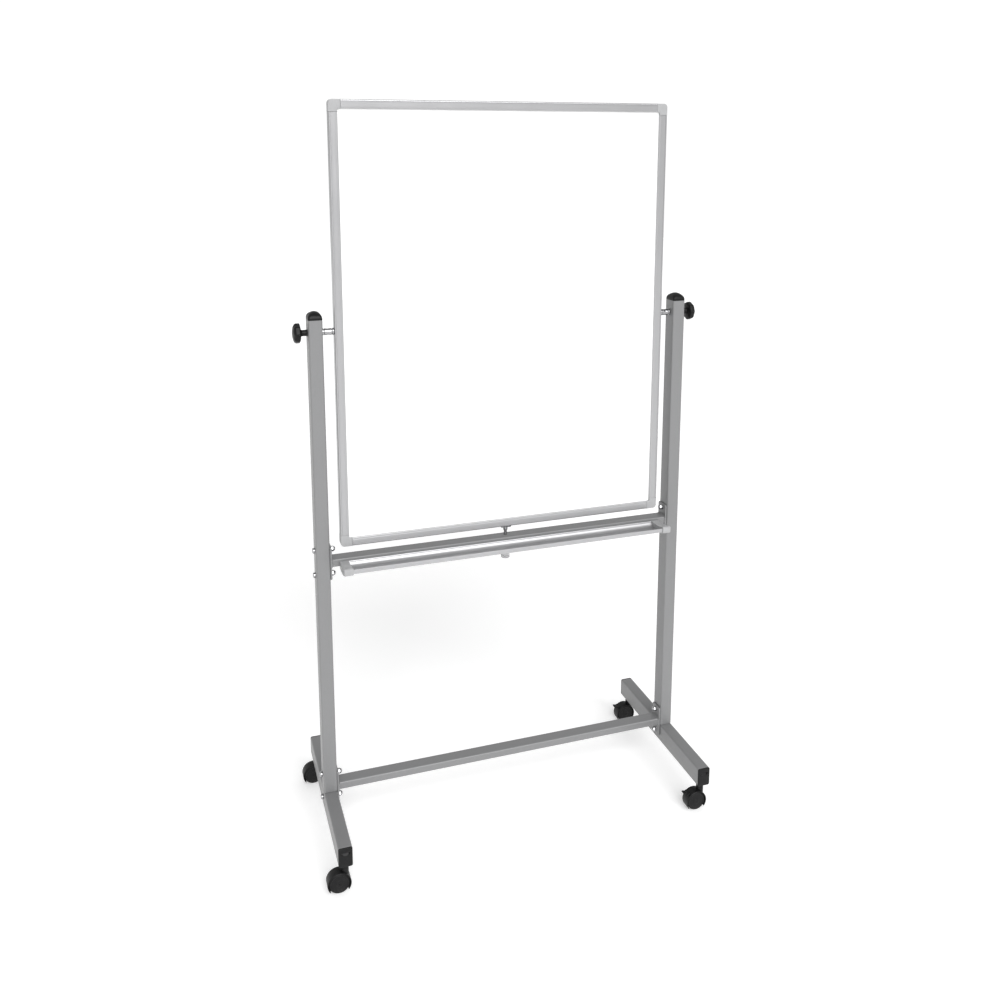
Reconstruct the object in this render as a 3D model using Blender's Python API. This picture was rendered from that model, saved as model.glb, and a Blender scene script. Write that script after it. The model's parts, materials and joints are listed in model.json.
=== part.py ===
"""Rolling reversible whiteboard on a two-post stand. Metres, +Z up, the board faces -Y."""

import math

import bmesh
import bpy
from mathutils import Matrix, Vector

# Board
BOARD_WIDTH = 0.812
BOARD_HEIGHT = 1.016
BOARD_THICKNESS = 0.022
RAIL_FACE = 0.020
RAIL_WALL = 0.0016
CORNER_LEG = 0.027
CORNER_RADIUS = 0.009
PANEL_INSET = 0.004
SLOT_HALF = 0.0063
SHEET_THICKNESS = 0.0005
CORE_HALF = 0.0054
PIVOT_Z = 1.238

# Stand tubes
POST_X = 0.449
POST_WIDTH = 0.032
POST_DEPTH = 0.042
POST_TOP = 1.268
TUBE_WALL = 0.002
TUBE_RADIUS = 0.004
FOOT_HALF_LENGTH = 0.225
FOOT_HEIGHT = 0.047
FOOT_BOTTOM = 0.0695
FOOT_CAP_LIP = 0.004
BAR_DEPTH = 0.034
BAR_HEIGHT = 0.019
BAR_RADIUS = 0.003
LOWER_BAR_Z = 0.125
UPPER_BAR_Z = 0.6955

# Welded end plates and their bolts
PLATE_THICKNESS = 0.004
PLATE_DEPTH = 0.038
PLATE_HEIGHT = 0.080
BOLT_OFFSET = 0.030
BOLT_RADIUS = 0.0037
BOLT_HOLE = 0.0042

# Marker tray
TRAY_HALF = 0.404
TRAY_CAP_INNER = 0.390
TRAY_CAP_OUTER = 0.411
TRAY_TOP = [
    (0.0120, 0.6856), (-0.0173, 0.6856), (-0.0173, 0.6970), (-0.0185, 0.6974), (-0.0202, 0.6928),
    (-0.0238, 0.6884), (-0.0292, 0.6856), (-0.0370, 0.6843), (-0.0460, 0.6843), (-0.0550, 0.6854),
    (-0.0630, 0.6875), (-0.0700, 0.6908), (-0.0750, 0.6950), (-0.0778, 0.7000), (-0.0785, 0.7012),
]
TRAY_BOTTOM = [
    (-0.0800, 0.7007), (-0.0802, 0.6918), (-0.0790, 0.6912), (-0.0772, 0.6930), (-0.0715, 0.6898),
    (-0.0640, 0.6862), (-0.0555, 0.6840), (-0.0460, 0.6829), (-0.0360, 0.6827), (-0.0260, 0.6831),
    (-0.0190, 0.6838), (0.0120, 0.6838),
]

# Pivot, knobs and latch
STUD_RADIUS = 0.004
STUD_HOLE = 0.0045
SPACER_RADIUS = 0.008
KNOB_RADIUS = 0.0225
LATCH_RADIUS = 0.004
LATCH_HOLE = 0.0046
LATCH_TOP = PIVOT_Z - BOARD_HEIGHT / 2 - 0.0006
LATCH_TRAVEL = 0.012
LATCH_BOTTOM = 0.650

# Casters
CASTER_Y = 0.205
CASTER_TRAIL = 0.014
WHEEL_RADIUS = 0.024
WHEEL_INNER = 0.0021
WHEEL_OUTER = 0.0112
HOOD_RADIUS = 0.0270
WELL_RADIUS = 0.0250
HOOD_HALF_WIDTH = 0.0126
WEB_HALF = 0.0017
AXLE_RADIUS = 0.003
AXLE_HALF = WHEEL_OUTER - 0.0023
STEM_RADIUS = 0.004
BOSS_RADIUS = 0.009
BRAKE_ANGLE = 135
BRAKE_REACH = 0.0287

GAP = 0.0003
ROUND = 18

LOOKS = {
    "powder_silver": ((0.42, 0.42, 0.43), 0.6, 0.42),
    "aluminium": ((0.72, 0.72, 0.73), 1.0, 0.32),
    "white_enamel": ((0.92, 0.92, 0.91), 0.0, 0.12),
    "core_board": ((0.55, 0.45, 0.33), 0.0, 0.85),
    "grey_plastic": ((0.50, 0.50, 0.51), 0.0, 0.45),
    "black_plastic": ((0.02, 0.02, 0.02), 0.0, 0.45),
    "zinc_steel": ((0.70, 0.70, 0.70), 1.0, 0.22),
}


def clear_scene():
    for obj in list(bpy.data.objects):
        bpy.data.objects.remove(obj, do_unlink=True)


def make_material(name):
    color, metallic, roughness = LOOKS[name]
    material = bpy.data.materials.new(name)
    material.use_nodes = True
    shader = material.node_tree.nodes["Principled BSDF"]
    shader.inputs["Base Color"].default_value = (*color, 1.0)
    shader.inputs["Metallic"].default_value = metallic
    shader.inputs["Roughness"].default_value = roughness
    return material


def new_object(name, bm, material=None):
    bmesh.ops.remove_doubles(bm, verts=bm.verts, dist=1e-7)
    bmesh.ops.recalc_face_normals(bm, faces=bm.faces)
    mesh = bpy.data.meshes.new(name)
    bm.to_mesh(mesh)
    bm.free()
    obj = bpy.data.objects.new(name, mesh)
    bpy.context.scene.collection.objects.link(obj)
    if material:
        obj.data.materials.append(MATERIALS[material])
    return obj


def loft(rings, closed=False, capped=True):
    """Skin over rings of equal point count. closed joins the last ring to the first."""
    bm = bmesh.new()
    rows = [[bm.verts.new(point) for point in ring] for ring in rings]
    count = len(rings[0])
    pairs = list(zip(rows, rows[1:]))
    if closed:
        pairs.append((rows[-1], rows[0]))
    for low, high in pairs:
        for i in range(count):
            j = (i + 1) % count
            bm.faces.new((low[i], low[j], high[j], high[i]))
    if capped and not closed:
        bm.faces.new(rows[0][::-1])
        bm.faces.new(rows[-1])
    return bm


def arc(center, radius, start, end, steps):
    points = []
    for k in range(steps + 1):
        angle = math.radians(start + (end - start) * k / steps)
        points.append((center[0] + radius * math.cos(angle), center[1] + radius * math.sin(angle)))
    return points


def rounded(width, height, radius, steps=4):
    """Outline of a rectangle with rounded corners, centred on the origin."""
    a = width / 2 - radius
    b = height / 2 - radius
    points = []
    for cx, cy, start in ((a, b, 0), (-a, b, 90), (-a, -b, 180), (a, -b, 270)):
        points += arc((cx, cy), radius, start, start + 90, steps)
    return points


def circle(radius, count=ROUND, lobes=0, depth=0.0, sides=0):
    """Ring of points: round, lobed, or a polygon of the given number of sides."""
    points = []
    for k in range(count):
        angle = 2 * math.pi * k / count
        reach = radius
        if lobes:
            reach = radius * (1 - depth * (0.5 - 0.5 * math.cos(lobes * angle)))
        if sides:
            part = math.pi / sides
            reach = radius * math.cos(part) / math.cos(angle % (2 * part) - part)
        points.append((reach * math.cos(angle), reach * math.sin(angle)))
    return points


def along_x(points, x, y=0.0, z=0.0):
    return [(x, y + u, z + v) for u, v in points]


def along_y(points, y, x=0.0, z=0.0):
    return [(x + u, y, z + v) for u, v in points]


def along_z(points, z, x=0.0, y=0.0):
    return [(x + u, y + v, z) for u, v in points]


def turned(profile, place, x=0.0, y=0.0, z=0.0, count=ROUND, **shape):
    """Body of revolution from (station, radius) pairs about the axis that place lays rings on."""
    rings = []
    for item in profile:
        station, radius = item[0], item[1]
        style = item[2] if len(item) > 2 else {}
        ring = circle(radius, count, **style)
        if place is along_x:
            rings.append(along_x(ring, x + station, y, z))
        elif place is along_y:
            rings.append(along_y(ring, y + station, x, z))
        else:
            rings.append(along_z(ring, z + station, x, y))
    return loft(rings, **shape)


def tube(place, low, high, outer, inner, x=0.0, y=0.0, z=0.0):
    """Open-ended tube with rounded-rectangle outlines, laid along one axis."""
    rings = []
    for outline, station in ((outer, low), (outer, high), (inner, high), (inner, low)):
        if place is along_x:
            rings.append(along_x(outline, station, y, z))
        elif place is along_y:
            rings.append(along_y(outline, station, x, z))
        else:
            rings.append(along_z(outline, station, x, y))
    return loft(rings, closed=True)


def box(low, high):
    bm = bmesh.new()
    size = [b - a for a, b in zip(low, high)]
    middle = [(a + b) / 2 for a, b in zip(low, high)]
    matrix = Matrix.Translation(middle) @ Matrix.Diagonal((*size, 1.0))
    bmesh.ops.create_cube(bm, size=1.0, matrix=matrix)
    return bm


def mirrored(bm, sign):
    """Reflects in the YZ plane for the left-hand twin."""
    if sign < 0:
        bmesh.ops.scale(bm, vec=(-1, 1, 1), verts=bm.verts)
    return bm


def combine(target, tools, operation):
    """Joins or cuts target with each tool body, then drops the tools."""
    for bm in tools:
        tool = new_object("tool", bm)
        modifier = target.modifiers.new("combine", "BOOLEAN")
        modifier.operation = operation
        modifier.solver = "EXACT"
        modifier.object = tool
        graph = bpy.context.evaluated_depsgraph_get()
        graph.update()
        mesh = bpy.data.meshes.new_from_object(target.evaluated_get(graph))
        target.modifiers.clear()
        old = target.data
        target.data = mesh
        mesh.name = target.name
        bpy.data.meshes.remove(old)
        bpy.data.objects.remove(tool, do_unlink=True)
    return target


def grown(points, amount):
    """Outline pushed outwards by amount; the points run anticlockwise."""
    result = []
    count = len(points)
    for i in range(count):
        before, here, after = (Vector(points[(i + k) % count]) for k in (-1, 0, 1))
        first = (here - before).normalized()
        second = (after - here).normalized()
        normal = Vector((first.y + second.y, -first.x - second.x))
        normal.normalize()
        across = max(0.35, normal.dot(Vector((first.y, -first.x))))
        result.append(tuple(here + normal * (amount / across)))
    return result


def post(side, sign):
    x = sign * POST_X
    outer = rounded(POST_WIDTH, POST_DEPTH, TUBE_RADIUS)
    inner = rounded(POST_WIDTH - 2 * TUBE_WALL, POST_DEPTH - 2 * TUBE_WALL, TUBE_RADIUS - TUBE_WALL)
    bottom = FOOT_BOTTOM + FOOT_HEIGHT + GAP
    body = new_object(side + "_post", tube(along_z, bottom, POST_TOP, outer, inner, x=x), "powder_silver")
    holes = []
    bolts = (LOWER_BAR_Z + BOLT_OFFSET, UPPER_BAR_Z - BOLT_OFFSET, UPPER_BAR_Z + BOLT_OFFSET)
    for z, radius in [(z, BOLT_HOLE) for z in bolts] + [(PIVOT_Z, STUD_HOLE)]:
        holes.append(turned([(-0.03, radius), (0.03, radius)], along_x, x=x, z=z))
    combine(body, holes, "DIFFERENCE")
    return body


def post_cap(side, sign):
    """Domed plug: a rim over the tube end, a short skirt inside it."""
    x = sign * POST_X
    skirt_w = POST_WIDTH - 2 * TUBE_WALL - 2 * GAP
    skirt_d = POST_DEPTH - 2 * TUBE_WALL - 2 * GAP
    rings = [(POST_TOP - 0.014, skirt_w, skirt_d, 0.0018), (POST_TOP + GAP, skirt_w, skirt_d, 0.0018)]
    rings.append((POST_TOP + GAP, POST_WIDTH, POST_DEPTH, TUBE_RADIUS))
    for rise, share in ((0.004, 1.0), (0.009, 0.95), (0.0135, 0.80), (0.0165, 0.58), (0.018, 0.30)):
        radius = max(TUBE_RADIUS, 0.0095 * share)
        rings.append((POST_TOP + rise, POST_WIDTH * share, POST_DEPTH * share, min(radius, 0.0045 + rise / 3)))
    outlines = []
    for z, width, depth, radius in rings:
        radius = min(radius, width / 2 - 0.0002)
        outlines.append(along_z(rounded(width, depth, radius), z, x))
    return new_object(side + "_post_cap", loft(outlines), "black_plastic")


def foot(side, sign):
    x = sign * POST_X
    outer = rounded(POST_WIDTH, FOOT_HEIGHT, TUBE_RADIUS)
    inner = rounded(POST_WIDTH - 2 * TUBE_WALL, FOOT_HEIGHT - 2 * TUBE_WALL, TUBE_RADIUS - TUBE_WALL)
    end = FOOT_HALF_LENGTH - FOOT_CAP_LIP - GAP
    z = FOOT_BOTTOM + FOOT_HEIGHT / 2
    body = new_object(side + "_foot", tube(along_y, -end, end, outer, inner, x=x, z=z), "powder_silver")
    bolt_z = LOWER_BAR_Z - BOLT_OFFSET
    holes = [turned([(-0.03, BOLT_HOLE), (0.03, BOLT_HOLE)], along_x, x=x, z=bolt_z)]
    for y in (-CASTER_Y, CASTER_Y):
        drill = [(-0.01, STEM_RADIUS + GAP), (0.01, STEM_RADIUS + GAP)]
        holes.append(turned(drill, along_z, x=x, y=y, z=FOOT_BOTTOM))
    combine(body, holes, "DIFFERENCE")
    return body


def foot_cap(side, sign, end, direction):
    """Plug with a slightly domed face over the tube end."""
    x = sign * POST_X
    z = FOOT_BOTTOM + FOOT_HEIGHT / 2
    start = FOOT_HALF_LENGTH - FOOT_CAP_LIP
    steps = (
        (start - 0.007, -2 * TUBE_WALL - 2 * GAP, 0.0018),
        (start, -2 * TUBE_WALL - 2 * GAP, 0.0018),
        (start, 0.0, TUBE_RADIUS),
        (start + 0.0025, 0.0, TUBE_RADIUS),
        (start + FOOT_CAP_LIP, -0.004, 0.0035),
    )
    rings = []
    for y, grow, radius in steps:
        outline = rounded(POST_WIDTH + grow, FOOT_HEIGHT + grow, radius)
        rings.append(along_y(outline, direction * y, x, z))
    return new_object(f"{side}_foot_cap_{end}", loft(rings), "black_plastic")


def crossbar(name, z):
    """Flat tube with a bolting plate welded across each end."""
    half = POST_X - POST_WIDTH / 2 - GAP
    outer = rounded(BAR_DEPTH, BAR_HEIGHT, BAR_RADIUS)
    inner = rounded(BAR_DEPTH - 2 * TUBE_WALL, BAR_HEIGHT - 2 * TUBE_WALL, BAR_RADIUS - 0.0015)
    reach = half - 0.001
    body = new_object(name, tube(along_x, -reach, reach, outer, inner, z=z), "powder_silver")
    plates = []
    for sign in (-1, 1):
        outline = rounded(PLATE_DEPTH, PLATE_HEIGHT, 0.004, 2)
        ends = sorted((sign * (half - PLATE_THICKNESS), sign * half))
        plates.append(loft([along_x(outline, x, z=z) for x in ends]))
    combine(body, plates, "UNION")
    holes = []
    for sign in (-1, 1):
        for offset in (-BOLT_OFFSET, BOLT_OFFSET):
            drill = [(-0.01, BOLT_HOLE), (0.01, BOLT_HOLE)]
            holes.append(turned(drill, along_x, x=sign * half, z=z + offset))
        vent = [(-0.01, 0.004), (0.01, 0.004)]
        holes.append(turned(vent, along_x, x=sign * half, z=z))
    combine(body, holes, "DIFFERENCE")
    return body


def upper_crossbar():
    body = crossbar("upper_crossbar", UPPER_BAR_Z)
    drill = [(-0.02, LATCH_HOLE), (0.02, LATCH_HOLE)]
    combine(body, [turned(drill, along_z, z=UPPER_BAR_Z)], "DIFFERENCE")
    return body


def plate_bolt(name, sign, z):
    """Through bolt: round head outside the tube, cap nut inside against the plate."""
    outside = POST_X + POST_WIDTH / 2 + GAP
    inside = POST_X - POST_WIDTH / 2 - GAP - PLATE_THICKNESS - GAP
    hexagon = {"sides": 6}
    profile = [
        (inside - 0.0105, 0.0015),
        (inside - 0.0095, 0.0040),
        (inside - 0.0075, 0.0054),
        (inside - 0.0055, 0.0058),
        (inside - 0.0055, 0.0068, hexagon),
        (inside, 0.0068, hexagon),
        (inside, BOLT_RADIUS),
        (outside, BOLT_RADIUS),
        (outside, 0.0064),
        (outside + 0.0042, 0.0062),
        (outside + 0.0054, 0.0046),
        (outside + 0.0060, 0.0020),
    ]
    return new_object(name, mirrored(turned(profile, along_x, z=z, count=12), sign), "zinc_steel")


def tray():
    """Extrusion: fixing flange under the bar, shallow trough, front lip."""
    outline = TRAY_TOP + TRAY_BOTTOM
    body = new_object(
        "marker_tray", loft([along_x(outline, x) for x in (-TRAY_HALF, TRAY_HALF)]), "aluminium"
    )
    drill = [(-0.006, LATCH_HOLE + 0.001), (0.006, LATCH_HOLE + 0.001)]
    combine(body, [turned(drill, along_z, z=TRAY_TOP[0][1])], "DIFFERENCE")
    return body


def tray_cap(side, sign):
    """Moulded end that slips over the tray and closes the trough."""
    outline = [
        (-0.0176, 0.6812), (-0.0176, 0.6985), (-0.0300, 0.6980), (-0.0520, 0.6990), (-0.0700, 0.7022),
        (-0.0790, 0.7050), (-0.0815, 0.7045), (-0.0828, 0.7025), (-0.0828, 0.6915), (-0.0815, 0.6890),
        (-0.0790, 0.6880), (-0.0600, 0.6822), (-0.0450, 0.6805), (-0.0300, 0.6803),
    ]
    rings = [along_x(outline, x) for x in (TRAY_CAP_INNER, TRAY_CAP_OUTER)]
    body = new_object(side + "_tray_cap", mirrored(loft(rings), sign), "grey_plastic")
    slot = grown(TRAY_TOP + TRAY_BOTTOM, GAP)
    ends = (TRAY_CAP_INNER - 0.01, TRAY_HALF + GAP)
    combine(body, [mirrored(loft([along_x(slot, x) for x in ends]), sign)], "DIFFERENCE")
    return body


def latch():
    """Spring plunger: T head under the bottom rail, rod through the bar, hexagonal pull below."""
    neck = UPPER_BAR_Z + BAR_HEIGHT / 2 + LATCH_TRAVEL + 0.0010
    rod = [
        (LATCH_BOTTOM, LATCH_RADIUS), (neck, LATCH_RADIUS), (neck + 0.0015, LATCH_RADIUS + 0.0012),
        (LATCH_TOP - 0.0026, LATCH_RADIUS + 0.0022),
    ]
    body = new_object("latch_plunger", turned(rod, along_z), "zinc_steel")
    head = rounded(0.027, 0.018, 0.004, 3)
    top = loft([along_z(head, z) for z in (LATCH_TOP - 0.0030, LATCH_TOP)])
    combine(body, [top], "UNION")
    hexagon = {"sides": 6}
    pull = [
        (0.6470, 0.0100, hexagon), (0.6485, 0.0115, hexagon), (0.6610, 0.0115, hexagon),
        (0.6630, 0.0100, hexagon), (0.6630, LATCH_RADIUS + GAP), (0.6495, LATCH_RADIUS + GAP),
    ]
    new_object("latch_pull", turned(pull, along_z), "zinc_steel")


def rail_section():
    """Channel section: u inwards from the board's edge, v through its thickness."""
    half = BOARD_THICKNESS / 2
    wall = RAIL_WALL
    soft = 0.0025
    front = [(soft, -half), (RAIL_FACE - 0.001, -half), (RAIL_FACE, -half + 0.001), (RAIL_FACE, -SLOT_HALF)]
    front += [(RAIL_FACE - wall, -SLOT_HALF), (RAIL_FACE - wall, -half + wall), (wall, -half + wall)]
    back = [(u, -v) for u, v in reversed(front)]
    return front + back + [(0.0, half - soft), (0.0, -half + soft)]


def rail(name, along, edge):
    """One side of the frame; edge is the side of the board it closes: -x, +x, -z or +z."""
    section = rail_section()
    rings = []
    for end in (-1, 1):
        ring = []
        for u, v in section:
            if edge in ("left", "right"):
                sign = -1 if edge == "left" else 1
                ring.append((sign * (BOARD_WIDTH / 2 - u), v, PIVOT_Z + end * along))
            else:
                sign = -1 if edge == "bottom" else 1
                ring.append((end * along, v, PIVOT_Z + sign * (BOARD_HEIGHT / 2 - u)))
        rings.append(ring)
    body = new_object(name, loft(rings), "aluminium")
    if edge in ("left", "right"):
        sign = -1 if edge == "left" else 1
        drill = [(-0.004, STUD_HOLE), (0.0035, STUD_HOLE)]
        combine(body, [mirrored(turned(drill, along_x, x=BOARD_WIDTH / 2, z=PIVOT_Z), sign)], "DIFFERENCE")
    return body


def corner(name, sx, sz):
    """Plastic corner that covers the square-cut rail ends, with tongues inside the channels."""
    half_w = BOARD_WIDTH / 2
    half_h = BOARD_HEIGHT / 2
    leg = CORNER_LEG
    r = CORNER_RADIUS
    thick = BOARD_THICKNESS / 2
    outline = [(half_w - leg, half_h - leg), (half_w, half_h - leg)]
    outline += arc((half_w - r, half_h - r), r, 0, 90, 6)
    outline += [(half_w - leg, half_h)]
    rings = []
    for y, shrink in ((-thick, 0.0012), (-thick + 0.0012, 0.0), (thick - 0.0012, 0.0), (thick, 0.0012)):
        middle = Vector((half_w - leg / 2, half_h - leg / 2))
        share = 1 - 2 * shrink / leg
        rings.append([(middle.x + (u - middle.x) * share, y, middle.y + (v - middle.y) * share) for u, v in outline])
    body = new_object(name, place_corner(loft(rings), sx, sz), "grey_plastic")
    slot_w = half_w - PANEL_INSET + GAP
    slot_h = half_h - PANEL_INSET + GAP
    inside = RAIL_WALL + GAP
    tongue = 0.0018
    deep = thick - RAIL_WALL - GAP
    tongues = [
        box((half_w - inside - tongue, -deep, half_h - leg - 0.012), (half_w - inside, deep, half_h - leg + 0.004)),
        box((half_w - leg - 0.012, -deep, half_h - inside - tongue), (half_w - leg + 0.004, deep, half_h - inside)),
    ]
    combine(body, [place_corner(tool, sx, sz) for tool in tongues], "UNION")
    slot = box((half_w - 2 * leg, -SLOT_HALF, half_h - 2 * leg), (slot_w, SLOT_HALF, slot_h))
    window = box((half_w - 2 * leg, -0.02, half_h - 2 * leg), (half_w - RAIL_FACE, 0.02, half_h - RAIL_FACE))
    combine(body, [place_corner(slot, sx, sz), place_corner(window, sx, sz)], "DIFFERENCE")
    return body


def place_corner(bm, sx, sz):
    bmesh.ops.scale(bm, vec=(sx, 1, sz), verts=bm.verts)
    bmesh.ops.translate(bm, vec=(0, 0, PIVOT_Z), verts=bm.verts)
    return bm


def board():
    half_w = BOARD_WIDTH / 2 - PANEL_INSET
    half_h = BOARD_HEIGHT / 2 - PANEL_INSET
    low, high = PIVOT_Z - half_h, PIVOT_Z + half_h
    new_object("board_core", box((-half_w, -CORE_HALF, low), (half_w, CORE_HALF, high)), "core_board")
    near = CORE_HALF + 0.0001
    far = near + SHEET_THICKNESS
    new_object("writing_sheet_front", box((-half_w, -far, low), (half_w, -near, high)), "white_enamel")
    new_object("writing_sheet_rear", box((-half_w, near, low), (half_w, far, high)), "white_enamel")
    along_side = BOARD_HEIGHT / 2 - CORNER_LEG - GAP
    along_top = BOARD_WIDTH / 2 - CORNER_LEG - GAP
    rail("rail_left", along_side, "left")
    rail("rail_right", along_side, "right")
    rail("rail_bottom", along_top, "bottom")
    rail("rail_top", along_top, "top")
    corner("corner_top_left", -1, 1)
    corner("corner_top_right", 1, 1)
    corner("corner_bottom_left", -1, -1)
    corner("corner_bottom_right", 1, -1)


def pivot_stud(side, sign):
    """Threaded stud fixed in the side rail, with a collar that spaces the board from the post."""
    edge = BOARD_WIDTH / 2
    face = POST_X - POST_WIDTH / 2
    outside = POST_X + POST_WIDTH / 2
    profile = [
        (edge - 0.0025, STUD_RADIUS),
        (edge + GAP, STUD_RADIUS),
        (edge + GAP, SPACER_RADIUS),
        (edge + 0.0110, SPACER_RADIUS),
        (edge + 0.0112, SPACER_RADIUS - 0.0015),
        (edge + 0.0138, SPACER_RADIUS - 0.0015),
        (edge + 0.0140, SPACER_RADIUS),
        (face - GAP, SPACER_RADIUS),
        (face - GAP, STUD_RADIUS),
        (outside + 0.0220, STUD_RADIUS),
    ]
    return new_object(side + "_pivot_stud", mirrored(turned(profile, along_x, z=PIVOT_Z), sign), "zinc_steel")


def clamp_knob(side, sign):
    """Lobed hand knob with a neck that presses on the post."""
    start = POST_X + POST_WIDTH / 2 + GAP
    lobed = {"lobes": 8, "depth": 0.10}
    bore = STUD_RADIUS + GAP
    profile = [
        (start, 0.0072),
        (start + 0.0130, 0.0072),
        (start + 0.0150, 0.0120),
        (start + 0.0165, 0.0190, lobed),
        (start + 0.0195, KNOB_RADIUS, lobed),
        (start + 0.0255, KNOB_RADIUS, lobed),
        (start + 0.0295, 0.0180, lobed),
        (start + 0.0318, 0.0110),
        (start + 0.0325, 0.0040),
        (start + 0.0325, 0.0012),
        (start + 0.0240, 0.0012),
        (start + 0.0240, bore),
        (start, bore),
    ]
    bm = turned(profile, along_x, z=PIVOT_Z, count=32, closed=True)
    return new_object(side + "_clamp_knob", mirrored(bm, sign), "black_plastic")


def caster_stem(name, x, y):
    """Steel stem: pin in the housing, collar under the foot, nut on the inside of the tube."""
    under = FOOT_BOTTOM - GAP
    over = FOOT_BOTTOM + TUBE_WALL + GAP
    hexagon = {"sides": 6}
    profile = [
        (under - 0.0175, STEM_RADIUS),
        (under - 0.0025, STEM_RADIUS),
        (under - 0.0025, 0.0085),
        (under, 0.0085),
        (under, STEM_RADIUS),
        (over, STEM_RADIUS),
        (over, 0.0070, hexagon),
        (over + 0.0050, 0.0070, hexagon),
        (over + 0.0050, STEM_RADIUS),
        (over + 0.0090, STEM_RADIUS),
    ]
    return new_object(name, turned(profile, along_z, x=x, y=y, count=12), "zinc_steel")


def caster_housing(name, x, y, braked):
    """Horseshoe hood with a middle web, a swivel socket above it and a fixed axle."""
    axle_x = x - CASTER_TRAIL
    axle_z = WHEEL_RADIUS
    outline = arc((0.0, 0.0), HOOD_RADIUS, -38, 218, 22)
    shell = [along_y(outline, y + w, axle_x, axle_z) for w in (-HOOD_HALF_WIDTH, HOOD_HALF_WIDTH)]
    body = new_object(name, loft(shell), "black_plastic")
    top = FOOT_BOTTOM - GAP - 0.0025 - GAP
    boss = [(0.030, BOSS_RADIUS), (top, BOSS_RADIUS)]
    joins = [turned(boss, along_z, x=x, y=y)]
    angle = math.radians(BRAKE_ANGLE)
    hinge_x = axle_x + BRAKE_REACH * math.cos(angle)
    hinge_z = axle_z + BRAKE_REACH * math.sin(angle)
    if braked:
        ears = [(-0.0092, 0.0034), (0.0092, 0.0034)]
        joins.append(turned(ears, along_y, x=hinge_x, y=y, z=hinge_z, count=16))
    combine(body, joins, "UNION")
    cuts = []
    for sign in (-1, 1):
        well = [(sign * WEB_HALF, WELL_RADIUS), (sign * 0.030, WELL_RADIUS)]
        cuts.append(turned(well, along_y, x=axle_x, y=y, z=axle_z, count=30))
    cuts.append(turned([(0.0485, STEM_RADIUS + GAP), (0.080, STEM_RADIUS + GAP)], along_z, x=x, y=y))
    if braked:
        cuts.append(turned([(-0.0069, 0.0040), (0.0069, 0.0040)], along_y, x=hinge_x, y=y, z=hinge_z, count=16))
        cuts.append(turned([(-0.02, 0.0015), (0.02, 0.0015)], along_y, x=hinge_x, y=y, z=hinge_z, count=12))
    combine(body, cuts, "DIFFERENCE")
    axle = [(-AXLE_HALF, AXLE_RADIUS), (AXLE_HALF, AXLE_RADIUS)]
    combine(body, [turned(axle, along_y, x=axle_x, y=y, z=axle_z, count=16)], "UNION")
    return body


def caster_wheel(name, x, y, sign):
    """Wheel with a rounded tread and a dished outer face; blind bore on the axle."""
    profile = [
        (WHEEL_INNER, AXLE_RADIUS + GAP),
        (WHEEL_INNER, 0.0228),
        (WHEEL_INNER + 0.0010, WHEEL_RADIUS),
        (WHEEL_OUTER - 0.0028, WHEEL_RADIUS),
        (WHEEL_OUTER - 0.0008, 0.0226),
        (WHEEL_OUTER, 0.0200),
        (WHEEL_OUTER - 0.0006, 0.0186),
        (WHEEL_OUTER - 0.0014, 0.0182),
        (WHEEL_OUTER - 0.0010, 0.0080),
        (WHEEL_OUTER - 0.0002, 0.0072),
        (WHEEL_OUTER - 0.0002, 0.0010),
        (WHEEL_OUTER - 0.0018, 0.0010),
        (WHEEL_OUTER - 0.0018, AXLE_RADIUS + GAP),
    ]
    profile = [(sign * station, radius) for station, radius in profile]
    bm = turned(profile, along_y, x=x - CASTER_TRAIL, y=y, z=WHEEL_RADIUS, count=20, closed=True)
    return new_object(name, bm, "black_plastic")


def brake_lever(name, x, y):
    """Foot tab hinged between the ears of the hood."""
    angle = math.radians(BRAKE_ANGLE)
    hinge_x = x - CASTER_TRAIL + BRAKE_REACH * math.cos(angle)
    hinge_z = WHEEL_RADIUS + BRAKE_REACH * math.sin(angle)
    pin = [(-0.0088, 0.0012), (-0.0066, 0.0012), (-0.0066, 0.0024), (0.0066, 0.0024), (0.0066, 0.0012)]
    pin.append((0.0088, 0.0012))
    body = new_object(name, turned(pin, along_y, x=hinge_x, y=y, z=hinge_z, count=16), "black_plastic")
    tab = [(-0.0005, -0.0012), (-0.0130, -0.0008), (-0.0140, 0.0005), (-0.0130, 0.0022), (-0.0005, 0.0018)]
    turn = math.radians(-14)
    ring = []
    for u, v in tab:
        ring.append((u * math.cos(turn) - v * math.sin(turn), u * math.sin(turn) + v * math.cos(turn)))
    pad = loft([along_y(ring, y + w, hinge_x, hinge_z) for w in (-0.0064, 0.0064)])
    combine(body, [pad], "UNION")
    return body


def caster(side, end, sx, sy, braked):
    name = f"caster_{side}_{end}"
    x = sx * POST_X
    y = sy * CASTER_Y
    caster_stem(name + "_stem", x, y)
    caster_housing(name + "_housing", x, y, braked)
    caster_wheel(name + "_wheel_front", x, y, -1)
    caster_wheel(name + "_wheel_rear", x, y, 1)
    if braked:
        brake_lever(name + "_brake", x, y)


def stand():
    for side, sign in (("left", -1), ("right", 1)):
        post(side, sign)
        post_cap(side, sign)
        foot(side, sign)
        foot_cap(side, sign, "front", -1)
        foot_cap(side, sign, "rear", 1)
        for level, z in (("lower", LOWER_BAR_Z), ("upper", UPPER_BAR_Z)):
            plate_bolt(f"bolt_{level}_{side}_bottom", sign, z - BOLT_OFFSET)
            plate_bolt(f"bolt_{level}_{side}_top", sign, z + BOLT_OFFSET)
    crossbar("lower_crossbar", LOWER_BAR_Z)
    upper_crossbar()
    tray()
    tray_cap("left", -1)
    tray_cap("right", 1)
    latch()


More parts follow.
